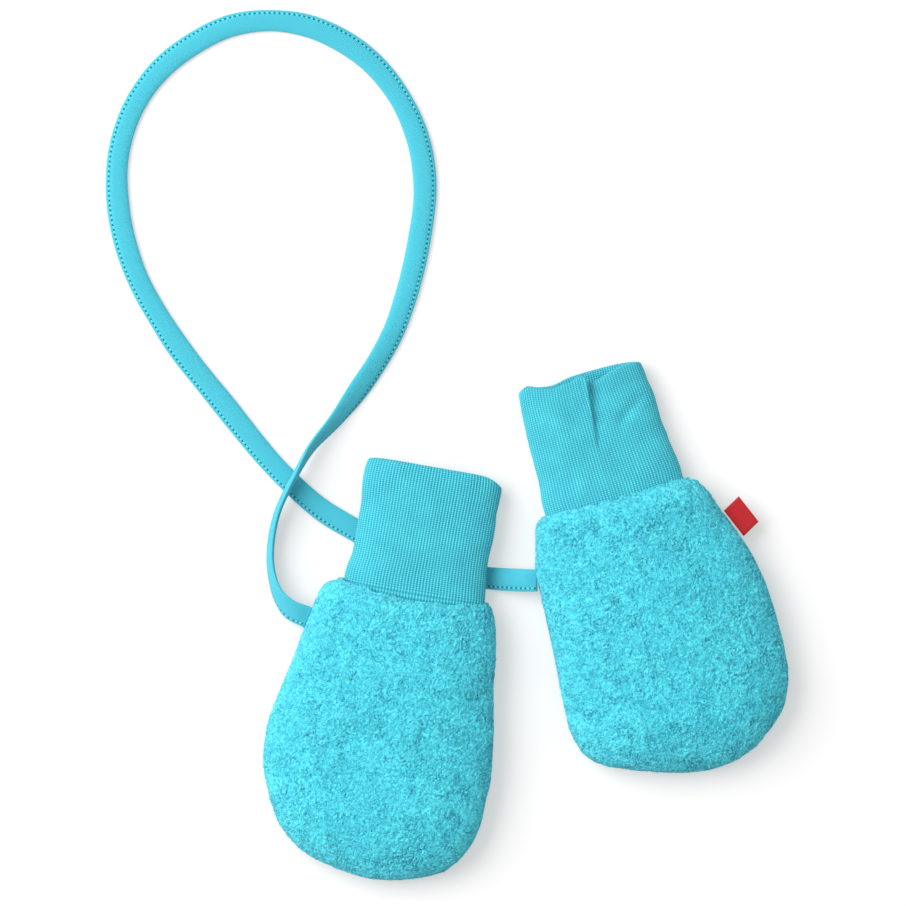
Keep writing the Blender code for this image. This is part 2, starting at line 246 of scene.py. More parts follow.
def knitGroup():
    # V-shaped stitches: each wale is |frac(u) - 1/2|, each course is frac(v + slant * wale)
    group = bpy.data.node_groups.new("knitStitches", "ShaderNodeTree")
    face = group.interface
    face.new_socket("Places", in_out="INPUT", socket_type="NodeSocketVector")
    for name in ("Wale", "Course", "Slant"):
        face.new_socket(name, in_out="INPUT", socket_type="NodeSocketFloat").default_value = 1.0
    for name in ("Height", "Gap"):
        face.new_socket(name, in_out="OUTPUT", socket_type="NodeSocketFloat")
    add, plug, sums, blend, noise = nodeTools(group)
    given = add("NodeGroupInput")
    out = add("NodeGroupOutput")
    split = add("ShaderNodeSeparateXYZ")
    plug(given.outputs["Places"], split.inputs[0])
    wale = sums("FRACT", sums("DIVIDE", split.outputs[0], given.outputs["Wale"]))
    wale = sums("ABSOLUTE", sums("SUBTRACT", wale, 0.5))
    course = sums("DIVIDE", split.outputs[1], given.outputs["Course"])
    course = sums("FRACT", sums("ADD", course, sums("MULTIPLY", wale, given.outputs["Slant"])))
    loop = sums("SINE", sums("MULTIPLY", course, math.pi))
    leg = sums("SINE", sums("MULTIPLY", wale, 2 * math.pi))
    height = sums("MULTIPLY", sums("POWER", loop, 0.6), sums("ADD", sums("MULTIPLY", leg, 0.75), 0.25))
    plug(height, out.inputs["Height"])
    # Gap, one minus the loop's height, is what the materials use to paint shade between the loops
    plug(sums("SUBTRACT", 1.0, height, clamp=True), out.inputs["Gap"])
    return group


def fuzzGroup():
    # fine fibre: two sizes of noise added
    group = bpy.data.node_groups.new("fibreFuzz", "ShaderNodeTree")
    face = group.interface
    face.new_socket("Places", in_out="INPUT", socket_type="NodeSocketVector")
    face.new_socket("Height", in_out="OUTPUT", socket_type="NodeSocketFloat")
    add, plug, sums, blend, noise = nodeTools(group)
    given = add("NodeGroupInput")
    out = add("NodeGroupOutput")
    fine = noise(given.outputs["Places"], 5200.0, 2.0, 0.6)
    middling = noise(given.outputs["Places"], 1900.0, 2.0, 0.55)
    plug(sums("ADD", sums("MULTIPLY", fine, 0.5), sums("MULTIPLY", middling, 0.5)), out.inputs["Height"])
    return group


def clothMaterial(name, roughness, sheen, sheenRoughness=0.5):
    material = bpy.data.materials.new(name)
    material.use_nodes = True
    shader = material.node_tree.nodes["Principled BSDF"]
    shader.inputs["Roughness"].default_value = roughness
    shader.inputs["Sheen Weight"].default_value = sheen
    shader.inputs["Sheen Roughness"].default_value = sheenRoughness
    shader.inputs["Specular IOR Level"].default_value = 0.15
    return material, shader, nodeTools(material.node_tree)


def raiseSurface(add, plug, shader, height, strength, distance):
    bump = add("ShaderNodeBump")
    bump.inputs["Strength"].default_value = strength
    bump.inputs["Distance"].default_value = distance
    plug(height, bump.inputs["Height"])
    plug(bump.outputs[0], shader.inputs["Normal"])


def placeGroup(add, group):
    node = add("ShaderNodeGroup")
    node.node_tree = group
    return node


def fleeceMaterial(fuzz):
    # the darkest colour is painted shade for the low places of the pile, and the tip colour is a painted
    # highlight on its tops
    look = {
        "paintedHollowShade": linear(24, 142, 174), "pile": linear(64, 200, 222), "tip": linear(98, 240, 254),
        "patch": linear(58, 192, 214),
    }
    material, shader, (add, plug, sums, blend, noise) = clothMaterial("curlyFleece", 0.95, 0.12)
    places = add("ShaderNodeTexCoord").outputs["Object"]
    pile = add("ShaderNodeAttribute", attribute_name="pile").outputs["Fac"]
    wisps = add("ShaderNodeTexNoise")
    plug(places, wisps.inputs["Vector"])
    wisps.inputs["Scale"].default_value = 1000.0
    wisps.inputs["Detail"].default_value = 2.5
    wisps.inputs["Roughness"].default_value = 0.72
    wisps.inputs["Distortion"].default_value = 1.4
    wisp = sums("MULTIPLY_ADD", wisps.outputs["Fac"], 3.1, -1.55)
    # tone follows the height of the pile and of the wisps, the same height that raises the bump: low places
    # get painted shade, high places a painted highlight
    tone = sums("ADD", pile, wisp)
    colour = blend(sums("MULTIPLY", tone, 1.8, clamp=True), look["paintedHollowShade"], look["pile"])
    # painted highlight on the highest places
    tip = sums("MULTIPLY", sums("SUBTRACT", tone, 0.45), 1.5, clamp=True)
    colour = blend(tip, colour, look["tip"])
    patches = noise(places, 75.0, 3.0, 0.6)
    patches = sums("MULTIPLY", sums("SUBTRACT", patches, 0.46), 1.1, clamp=True)
    colour = blend(patches, colour, look["patch"])
    plug(colour, shader.inputs["Base Color"])
    fibre = placeGroup(add, fuzz)
    plug(places, fibre.inputs["Places"])
    height = sums("ADD", fibre.outputs["Height"], sums("MULTIPLY", wisps.outputs["Fac"], 2.4))
    raiseSurface(add, plug, shader, height, 0.9, 0.0006)
    return material


def knitMaterial(name, knit, fuzz, look):
    material, shader, (add, plug, sums, blend, noise) = clothMaterial(name, 0.85, look["sheen"])
    uv = add("ShaderNodeUVMap", uv_map="cloth").outputs[0]
    places = add("ShaderNodeTexCoord").outputs["Object"]
    stitches = placeGroup(add, knit)
    plug(uv, stitches.inputs["Places"])
    stitches.inputs["Wale"].default_value = look["wale"]
    stitches.inputs["Course"].default_value = look["course"]
    stitches.inputs["Slant"].default_value = look["slant"]
    fibre = placeGroup(add, fuzz)
    plug(places, fibre.inputs["Places"])
    # painted shade between the loops: darker towards the gap colour where the stitch pattern is low
    dark = sums("MULTIPLY", stitches.outputs["Gap"], look["gapShade"])
    colour = blend(dark, look["face"], look["gap"])
    patches = sums("MULTIPLY", sums("SUBTRACT", noise(places, 120.0, 2.0), 0.45), 0.9, clamp=True)
    colour = blend(patches, colour, look["patch"])
    if look["grooveShade"]:
        # painted shade in the grooves between the ribs: darker towards the groove colour where the rib is
        # low
        rib = add("ShaderNodeAttribute", attribute_name="rib").outputs["Fac"]
        groove = sums("POWER", sums("SUBTRACT", 1.0, rib, clamp=True), 1.4)
        colour = blend(sums("MULTIPLY", groove, look["grooveShade"]), colour, look["groove"])
    if look["holes"]:
        # a dark hole at each end of a stitch: across near the row, and frac(v / pitch) near 0
        split = add("ShaderNodeSeparateXYZ")
        plug(uv, split.inputs[0])
        stitchRow = strapShape["width"] / 2 - strapShape["stitchInset"]
        row = sums("ABSOLUTE", sums("SUBTRACT", split.outputs[0], stitchRow))
        row = sums("SUBTRACT", 1.0, sums("DIVIDE", row, 0.46), clamp=True)
        start = sums("SUBTRACT", split.outputs[1], strapShape["into"] + strapShape["firstStitch"])
        turn = sums("FRACT", sums("ADD", sums("DIVIDE", start, strapShape["stitchPitch"]), 0.5))
        hole = sums("ABSOLUTE", sums("SUBTRACT", turn, 0.5))
        hole = sums("MULTIPLY", sums("SUBTRACT", hole, 0.20), 5.0, clamp=True)
        colour = blend(sums("MULTIPLY", sums("MULTIPLY", row, 1.8, clamp=True), hole), colour, look["holes"])
    plug(colour, shader.inputs["Base Color"])
    height = sums("ADD", stitches.outputs["Height"], sums("MULTIPLY", fibre.outputs["Height"], 0.35))
    raiseSurface(add, plug, shader, height, look["bump"], 0.00022)
    return material


def wovenMaterial():
    # twill: diagonal ridges of one thread's width, crossed by the tape's ribs
    material, shader, (add, plug, sums, blend, noise) = clothMaterial("wovenTab", 0.5, 0.15)
    uv = add("ShaderNodeUVMap", uv_map="cloth").outputs[0]
    split = add("ShaderNodeSeparateXYZ")
    plug(uv, split.inputs[0])
    across = sums("MULTIPLY", split.outputs[0], 2 * math.pi / 0.34)
    along = sums("MULTIPLY", split.outputs[1], 2 * math.pi / 0.26)
    twill = sums("ADD", sums("SINE", sums("ADD", across, along)), sums("MULTIPLY", sums("SINE", along), 0.5))
    twill = sums("ADD", sums("MULTIPLY", twill, 0.33), 0.5, clamp=True)
    # darker between the ridges: painted shade of the weave
    plug(blend(twill, linear(126, 12, 18), linear(204, 34, 40)), shader.inputs["Base Color"])
    raiseSurface(add, plug, shader, twill, 0.5, 0.00012)
    return material


cameraShape = {"centreX": -26.3, "centreY": 60.3, "height": 4200.0, "field": 325.5, "sensor": 36.0}


def makeCamera():
    data = bpy.data.cameras.new("camera")
    data.type = "PERSP"
    data.sensor_width = cameraShape["sensor"]
    data.lens = cameraShape["sensor"] * cameraShape["height"] / cameraShape["field"]
    data.clip_start = 0.1
    data.clip_end = 20.0
    camera = bpy.data.objects.new("camera", data)
    camera.location = (cameraShape["centreX"] * mm, cameraShape["centreY"] * mm, cameraShape["height"] * mm)
    camera.rotation_euler = (0, 0, 0)
    scene.collection.objects.link(camera)
    scene.camera = camera


strapShape = {
    "width": 8.0,
    "thick": 2.4,
    "into": 1.5,            # how far each end runs into its side seam
    "rest": 0.1,            # least gap under the strap
    "step": 0.9,            # spacing of its rings
    "ring": 30,             # points round a ring
    "stitchInset": 1.15,    # stitching, from the outer edge
    "stitchPitch": 1.7,
    "firstStitch": 0.9,     # from the seam
    "stitchLength": 1.25,
    "stitchThick": 0.42,
    "route": (
        # x, y, lift under the lower edge, all in metres, and turn: 0 and -180 lie flat, -90 is on edge
        (-0.0792, 0.0017, 0.0056, -12),
        (-0.0845, 0.0041, 0.0043, -32),
        (-0.0889, 0.0091, 0.0022, -60),
        (-0.0911, 0.0154, 0.0009, -74),
        (-0.0919, 0.0218, 0.0003, -80),
        (-0.0915, 0.029, 0.0004, -82),
        (-0.0894, 0.0386, 0.0018, -85),
        (-0.0861, 0.0463, 0.003, -87),
        (-0.0828, 0.0524, 0.003, -92),
        (-0.0776, 0.0614, 0.0015, -106),
        (-0.0684, 0.0722, 0.0003, -128),
        (-0.0603, 0.083, 0.0001, -149),
        (-0.0531, 0.0938, 0.0001, -159),
        (-0.0474, 0.1046, 0.0001, -170),
        (-0.0436, 0.1154, 0.0001, -178),
        (-0.0385, 0.1365, 0.0001, -180),
        (-0.0364, 0.157, 0.0001, -180),
        (-0.038, 0.1696, 0.0001, -180),
        (-0.0416, 0.1804, 0.0001, -180),
        (-0.0476, 0.1912, 0.0001, -180),
        (-0.0562, 0.2012, 0.0001, -180),
        (-0.066, 0.2083, 0.0001, -180),
        (-0.0784, 0.2137, 0.0001, -180),
        (-0.0922, 0.2156, 0.0001, -180),
        (-0.1064, 0.2137, 0.0001, -180),
        (-0.1196, 0.2073, 0.0001, -180),
        (-0.1316, 0.1979, 0.0001, -180),
        (-0.1408, 0.185, 0.0001, -180),
        (-0.1463, 0.1685, 0.0001, -180),
        (-0.1466, 0.149, 0.0001, -180),
        (-0.141, 0.1264, 0.0001, -180),
        (-0.1292, 0.1046, 0.0001, -180),
        (-0.1086, 0.0776, 0.0001, -180),
        (-0.0862, 0.0512, 0.0001, -180),
        (-0.0736, 0.04, 0.0001, -180),
        (-0.061, 0.0323, 0.0001, -180),
        (-0.0454, 0.0232, 0.0001, -180),
        (-0.0308, 0.0179, 0.0001, -180),
        (-0.014, 0.0154, 0.0001, -180),
        (-0.0054, 0.0148, 0.0032, -180),
        (0.0026, 0.0146, 0.0056, -180),
    ),
}


def strapLine(step):
    # centre points, side vectors and turn, read from a smooth curve through the route
    route = np.array(strapShape["route"], float)
    route[:, :3] /= mm
    reach = np.concatenate([[0], np.cumsum(np.linalg.norm(np.diff(route[:, :2], axis=0), axis=1))])
    at = np.linspace(-strapShape["into"], reach[-1] + strapShape["into"], int(round(reach[-1] / step)) + 1)
    x, y, lift, turn = (smoothColumn(reach, route[:, column], at) for column in range(4))
    for over, first, second in ((at, 0, 1), (at - reach[-1], -1, -2)):
        beyond = np.minimum(over, 0) if first == 0 else np.maximum(over, 0)
        way = (route[second, :2] - route[first, :2]) * (1 if first == 0 else -1)
        x, y = x + beyond * way[0] / np.hypot(*way), y + beyond * way[1] / np.hypot(*way)
    turn = np.radians(np.clip(turn, -180, 0))
    flatHalf = (strapShape["width"] - strapShape["thick"]) / 2
    z = np.maximum(lift, strapShape["rest"]) + strapShape["thick"] / 2 + flatHalf * np.abs(np.sin(turn))
    centres = np.stack([x, y, z], axis=-1)
    tangent = np.gradient(centres, axis=0)
    tangent /= np.linalg.norm(tangent, axis=1, keepdims=True)
    flatSide = np.stack([-tangent[:, 1], tangent[:, 0], np.zeros(len(at))], axis=-1)
    flatSide /= np.linalg.norm(flatSide, axis=1, keepdims=True)
    upward = np.cross(tangent, flatSide)
    cos, sin = np.cos(turn)[:, None], np.sin(turn)[:, None]
    side = flatSide * cos + upward * sin       # towards the stitched edge
    face = upward * cos - flatSide * sin
    travelled = np.concatenate([[0], np.cumsum(np.linalg.norm(np.diff(centres, axis=0), axis=1))])
    return centres, tangent, side, face, travelled


def strapHalfThickness(across):
    # rounded edges, a soft crown, and a groove where the stitching pulls the cloth down
    half = strapShape["width"] / 2
    reach = np.clip(np.abs(across) / half, 0, 1)
    body = strapShape["thick"] / 2 * (1 - reach ** 3.2) ** 0.5 * (0.74 + 0.26 * (1 - reach ** 2))
    groove = np.exp(-((across - (half - strapShape["stitchInset"])) / 0.40) ** 2)
    return body * (1 - 0.34 * groove)


def makeStrap(material):
    centres, tangent, side, face, travelled = strapLine(strapShape["step"])
    around = np.linspace(0, 2 * math.pi, strapShape["ring"], endpoint=False)
    half = strapShape["width"] / 2
    widthNoise = 0.12 * (softNoise(travelled, travelled * 0, 14.0, 5) - 0.5)
    across = np.sign(np.cos(around)) * np.abs(np.cos(around)) ** 0.8 * half
    fromEnd = np.minimum(travelled, travelled[-1] - travelled)
    pressed = 0.35 + 0.65 * ease(fromEnd, 0.6, 4.5)
    thick = strapHalfThickness(across) * np.sign(np.sin(around) + 1e-9)
    thick[np.isclose(np.abs(across), half)] = 0.0
    pucker = 1 - 0.10 * np.cos(2 * math.pi * travelled / strapShape["stitchPitch"])[:, None] * np.exp(
        -((across - (half - 0.7)) / 0.9) ** 2)[None, :]
    wide = across[None, :] * (1 + widthNoise[:, None])
    points = (centres[:, None, :] + side[:, None, :] * wide[..., None]
              + face[:, None, :] * (thick[None, :] * pucker * pressed[:, None])[..., None])
    rows, columns = points.shape[:2]
    ends = np.stack([centres[0], centres[-1]])
    flat = np.concatenate([points.reshape(-1, 3), ends])
    flat[:, 2] = np.maximum(flat[:, 2], 0.04)
    faces = [gridFaces(rows, columns, wrapColumns=True)] + tubeCaps(rows, columns)
    strap = makePiece("joiningStrap", flat * mm, faces, material)
    uv = np.stack(np.broadcast_arrays(across[None, :], travelled[:, None]), axis=-1).reshape(-1, 2)
    storeUv(strap, "cloth", np.concatenate([uv, [[0, 0], [0, travelled[-1]]]]))
    print("strap:", round(travelled[-1], 1), "mm long")
    return strap, centres * mm, travelled[-1] * mm


def makeStrapStitches(material):
    # short fat threads in one row along the outer edge, on both faces
    centres, tangent, side, face, travelled = strapLine(0.25)
    begin = strapShape["into"] + strapShape["firstStitch"]
    places = np.arange(begin, travelled[-1] - strapShape["into"], strapShape["stitchPitch"])
    across = strapShape["width"] / 2 - strapShape["stitchInset"]
    depth = strapHalfThickness(np.array([across]))[0]
    segments, rings = 6, 5
    along = np.linspace(-1, 1, rings)
    radius = strapShape["stitchThick"] / 2 * np.sqrt(np.clip(1 - (along * 0.97) ** 4, 0, 1))
    dip = -0.16 * along ** 2
    around = np.linspace(0, 2 * math.pi, segments, endpoint=False)
    allPoints, allFaces, start = [], [], 0
    single = [gridFaces(rings, segments, wrapColumns=True)] + tubeCaps(rings, segments)
    for facing in (1, -1):
        wobble = 0.08 * (randomCell(np.arange(len(places)), np.full(len(places), facing + 2), 31) - 0.5)

        def read(values):
            return np.stack([np.interp(places, travelled, values[:, k]) for k in range(3)], axis=-1)
        c, t, s, f = read(centres), read(tangent), read(side), read(face) * facing
        base = c + s * (across + wobble)[:, None] + f * (depth + 0.04)
        rise = radius[:, None] * np.sin(around) * 0.7 + dip[:, None]
        points = (base[:, None, None, :]
                  + t[:, None, None, :] * (along * strapShape["stitchLength"] / 2)[None, :, None, None]
                  + s[:, None, None, :] * (radius[:, None] * np.cos(around))[None, :, :, None]
                  + f[:, None, None, :] * rise[None, :, :, None])
        tips = np.stack([
            base + t * (-strapShape["stitchLength"] / 2 - 0.05) + f * dip[0],
            base + t * (strapShape["stitchLength"] / 2 + 0.05) + f * dip[-1],
        ], axis=1)
        block = np.concatenate([points.reshape(len(places), -1, 3), tips], axis=1)
        size = block.shape[1]
        starts = start + np.arange(len(places)) * size
        for part in single:
            shifted = part[None, :, :] + starts[:, None, None]
            shifted = shifted if facing > 0 else shifted[..., ::-1]
            allFaces.append(shifted.reshape(-1, part.shape[1]))
        allPoints.append(block.reshape(-1, 3))
        start += block.shape[0] * size
    points = np.concatenate(allPoints)
    points[:, 2] = np.maximum(points[:, 2], 0.02)
    return makePiece("strapStitches", points * mm, allFaces, material)


bodyShape = {
    "seamHeight": 7.0,
    "seamGap": 0.3,
    "wall": 3.2,
    "edgeWall": 2.1,        # fleece pressed thin at the cuff seam
    "clearance": 0.42,
    "backDepth": 7.8,
    "tipRounding": 26.0,
    "frontFullness": 2.4,   # superellipse exponents of a section's upper and lower half
    "backFullness": 2.8,
    "tipFullness": 2.2,
    "frontStep": 0.35,      # spacing of the face's grid
    "backStep": 0.60,
    "innerEvery": 8,        # the inner face has one grid line for this many of the outer one's
    "cornerRound": 0.8,
    "usualHalf": 41.0,      # half width and rise of a usual section, for spacing the grid
    "usualRise": 12.0,
    "curlRows": 7,
    "curlReach": 0.7,       # how far the edge rolls out over the cuff
}

mittens = {
    "left": {
        "place": (-40.1, 11.0), "turn": -9.8,
        "body": {
            "along": (0, 1.2, 3, 8, 17, 29, 44, 59, 70, 80, 88, 94, 98),
            "left": (28.4, 31.2, 32.6, 34.3, 36.4, 38.8, 42.0, 44.3, 43.3, 39.5, 35.2, 30.4, 25.4),
            "right": (27.6, 29.0, 29.6, 31.3, 32.8, 34.1, 36.7, 38.5, 38.5, 37.9, 35.4, 31.4, 28.0),
            "crown": (9.9, 10.9, 11.6, 12.2, 12.5, 12.8, 13.0, 13.0, 12.8, 12.5, 12.2, 12.0, 11.8),
        },
        "cuff": {
            "up": (-2.5, 0, 4, 10, 18, 30, 40, 44.8),
            "left": (25.6, 25.6, 25.4, 24.6, 24.4, 24.4, 24.7, 24.2),
            "right": (25.4, 25.4, 25.0, 24.4, 24.2, 24.4, 24.7, 24.3),
            "bottom": (2.5, 2.5, 3.0, 3.2, 3.2, 3.1, 2.0, 1.5),
            "top": (14.2, 14.2, 14.1, 14.0, 13.8, 13.2, 12.5, 12.1),
        },
        "tuck": None,
        "mouthArch": 4.0, "tipArch": 6.8, "tipSkew": 0.05,
        "cornerDrop": (0.6, 2.9),
        "frontEdge": None, "backEdge": None, "folds": (),
        "seed": 11,
    },
    "right": {
        "place": (31.7, 44.5), "turn": 15.4,
        "body": {
            "along": (0, 1.2, 3, 8, 15, 27, 42, 57, 69, 78, 86, 90, 93),
            "left": (28.1, 30.0, 30.8, 32.2, 34.0, 35.2, 36.2, 37.2, 37.9, 38.0, 35.2, 31.6, 27.6),
            "right": (27.9, 30.2, 31.1, 33.5, 35.9, 40.8, 44.2, 45.1, 44.7, 43.6, 40.2, 37.6, 34.1),
            "crown": (9.9, 10.9, 11.6, 12.2, 12.5, 12.8, 13.0, 13.0, 12.8, 12.5, 12.2, 12.0, 11.8),
        },
        "cuff": {
            "up": (-2.5, 0, 4, 10, 18, 30, 40, 45.5),
            "left": (25.6, 25.6, 25.8, 25.4, 24.9, 24.6, 24.2, 23.4),
            "right": (25.6, 25.4, 25.4, 24.5, 23.6, 23.2, 22.1, 21.6),
            "bottom": (2.5, 2.5, 2.3, 1.7, 1.1, 0.7, 0.5, 0.5),
            "top": (14.2, 14.2, 14.0, 13.5, 12.8, 12.1, 11.7, 11.5),
        },
        "tuck": {
            "mouthAcross": 1.7, "footAcross": -1.3, "footUp": 18.0,
            "depth": 4.0, "steep": 0.4, "slow": 6.0,
            "lip": 1.1, "lipReach": 3.0, "lean": 0.1,
        },
        "mouthArch": 1.3, "tipArch": 10.3, "tipSkew": 0.45,
        "cornerDrop": (0.6, 1.0),
        # the mouth's uneven edge: places across, and how far the edge stands beyond the cuff's length
        "frontEdge": ((-23.4, -20.0, -16.5, -12.0, -5.0, 1.0, 2.6, 5.0, 10.5, 16.0, 21.6),
                      (0.2, 1.3, -0.2, -1.7, -1.6, -1.5, -3.6, -3.3, -1.7, -0.5, 0.0)),
        "backEdge": ((-23.4, -20.0, -16.5, -12.0, -4.0, 4.0, 11.0, 16.0, 21.6),
                     (0.2, 1.2, -0.1, -0.9, 0.3, 0.5, 0.4, 0.1, 0.0)),
        # soft folds: start, end, depth, width
        "folds": (((8.0, 24.4), (19.4, 32.6), 0.85, 1.5), ((-7.5, 44.0), (-6.0, 26.0), 0.3, 2.6),
                  ((2.2, 17.5), (5.2, 8.0), 0.3, 2.2)),
        "seed": 47,
    },
}


def bodyRows(mitten, share, wall):
    # places along, half widths and crown at `share` of the body's length, set in by `wall`
    body = mitten["body"]
    last = body["along"][-1]
    along = last * share
    arch = mitten["tipArch"] * share ** 3
    tip = last + mitten["tipArch"]
    fromTip = (tip - (along + arch)) / bodyShape["tipRounding"]
    rounding = (1 - np.clip(1 - fromTip, 0, 1) ** bodyShape["tipFullness"]) ** (1 / bodyShape["tipFullness"])
    shrink = 1 - wall / tip
    return {
        "along": along * shrink,
        "left": smoothColumn(body["along"], body["left"], along),
        "right": smoothColumn(body["along"], body["right"], along),
        "crown": smoothColumn(body["along"], body["crown"], along),
        "rounding": rounding,
        "tipArch": arch * shrink,
        "bow": mitten["mouthArch"] * np.clip(1 - along / 18, 0, 1) ** 2,
    }


def panelSurface(mitten, side, share, across, inside, inset=0.0, push=0.0):
    # x = middle + half * c, y = -(along + arch (1 - c^2)), z = seam +- depth * superellipse(c)
    wall = bodyShape["wall"] if inside else 0.0
    rows = bodyRows(mitten, share, wall)
    fullness = bodyShape["frontFullness"] if side > 0 else bodyShape["backFullness"]
    left, right = rows["left"] - inset, rows["right"] - inset
    depth = (rows["crown"] if side > 0 else np.full_like(left, bodyShape["backDepth"])) - inset
    floor = np.zeros_like(left) + inset
    if inside:
        cuff = mitten["cuff"]
        fit = 1 - ease((rows["along"] - cuffShape["inside"] * 1.3) / 7)
        seam = bodyShape["seamHeight"]
        cuffDepth = cuff["top"][0] - seam if side > 0 else seam - cuff["bottom"][0]
        left = fit * (cuff["left"][0] + bodyShape["clearance"]) + (1 - fit) * (left - wall)
        right = fit * (cuff["right"][0] + bodyShape["clearance"]) + (1 - fit) * (right - wall)
        depth = fit * (cuffDepth + bodyShape["clearance"]) + (1 - fit) * (depth - wall)
        floor = fit * bodyShape["edgeWall"] + (1 - fit) * wall
    half, middle = (left + right) / 2, (right - left) / 2
    bulge = 1 - across ** 2
    x = middle[:, None] + half[:, None] * across
    bow = rows["bow"] if side > 0 else np.zeros_like(half)
    along = (rows["along"] + push)[:, None] + bow[:, None] * bulge
    if not inside:
        # the corner beside the cuff is rounded off
        corner = (1 - ease(rows["along"], 0, 5))[:, None]
        along = along + bodyShape["cornerRound"] * np.abs(across) ** 7 * corner
    along = along + rows["tipArch"][:, None] * bulge * (1 + mitten["tipSkew"] * across)
    rise = (depth * rows["rounding"])[:, None] * heightShare(across, fullness)
    z = bodyShape["seamHeight"] + side * (bodyShape["seamGap"] / 2 + rise)
    if side < 0:
        z = np.maximum(z, floor[:, None])
    return np.stack([x, -along, z], axis=-1)


def panelCut(mitten, side):
    # flat size of the cloth that shows: the longest runs across and along the face, and its area
    grid = panelSurface(mitten, side, np.linspace(0, 1, 81), np.linspace(-1, 1, 161), False)
    acrossRun = np.linalg.norm(np.diff(grid, axis=1), axis=2).sum(axis=1).max()
    alongRun = np.linalg.norm(np.diff(grid, axis=0), axis=2).sum(axis=0).max()
    here, below, beside, beyond = grid[:-1, :-1], grid[1:, :-1], grid[:-1, 1:], grid[1:, 1:]
    halves = [np.cross(below - here, beyond - here), np.cross(beyond - here, beside - here)]
    area = sum(np.linalg.norm(half, axis=-1).sum() for half in halves) / 2
    return acrossRun, alongRun, area


def panelPlaces(mitten, side, step):
    # shares along and across at an even spacing on the cloth
    t = np.linspace(-1, 1, 1201)
    shape = np.sin(t * math.pi / 2)
    fullness = bodyShape["frontFullness"] if side > 0 else bodyShape["backFullness"]
    section = np.stack(
        [shape * bodyShape["usualHalf"], heightShare(shape, fullness) * bodyShape["usualRise"]], axis=-1)
    across = evenPlaces(section, shape, step)
    dense = np.sin(np.linspace(0, math.pi / 2, 1201))
    rows = bodyRows(mitten, dense, 0.0)
    middle = np.stack([rows["along"] + rows["tipArch"], rows["crown"] * rows["rounding"]], axis=-1)
    share = evenPlaces(middle, dense, step)
    return share, across


def trimmed(values, every):
    # drops places evenly until the number of steps is a multiple of `every`
    count = (len(values) - 1) // every * every
    return np.interp(np.linspace(0, len(values) - 1, count + 1), np.arange(len(values)), values)


def curlHeight(s, t, seed):
    # ridges 1 - |2n - 1| of warped noise in two sizes, nubs (1 - d^2) and cracks, stronger in patches
    wx = s + 1.5 * (softNoise(s, t, 2.3, seed) - 0.5) + 0.7 * (softNoise(s, t, 0.9, seed + 1) - 0.5)
    wy = t + 1.5 * (softNoise(s, t, 2.3, seed + 2) - 0.5) + 0.7 * (softNoise(s, t, 0.9, seed + 3) - 0.5)
    near, beyond, number = nubNoise(wx, wy, 1.10, seed + 4)
    nub = np.clip(1 - (near / 0.8) ** 2, 0, 1)
    crack = 1 - ease(beyond - near, 0.0, 0.30)
    fineCurl = 1 - np.abs(2 * softNoise(wx, wy, 0.80, seed + 12) - 1)
    curl = 1 - np.abs(2 * softNoise(wx + 7, wy, 1.55, seed + 13) - 1)
    clump = softNoise(s, t, 4.4, seed + 14)
    patch = 0.7 + 0.5 * ease(softNoise(s, t, 8.0, seed + 16), 0.25, 0.75)
    pitted = ease(softNoise(s, t, 3.4, seed + 17), 0.42, 0.78)
    fine = 0.20 * nub * (0.4 + 0.6 * number) + 0.17 * fineCurl + 0.17 * curl - 0.20 * crack * pitted
    return (fine - 0.19) * patch + 0.10 * (clump - 0.5), number


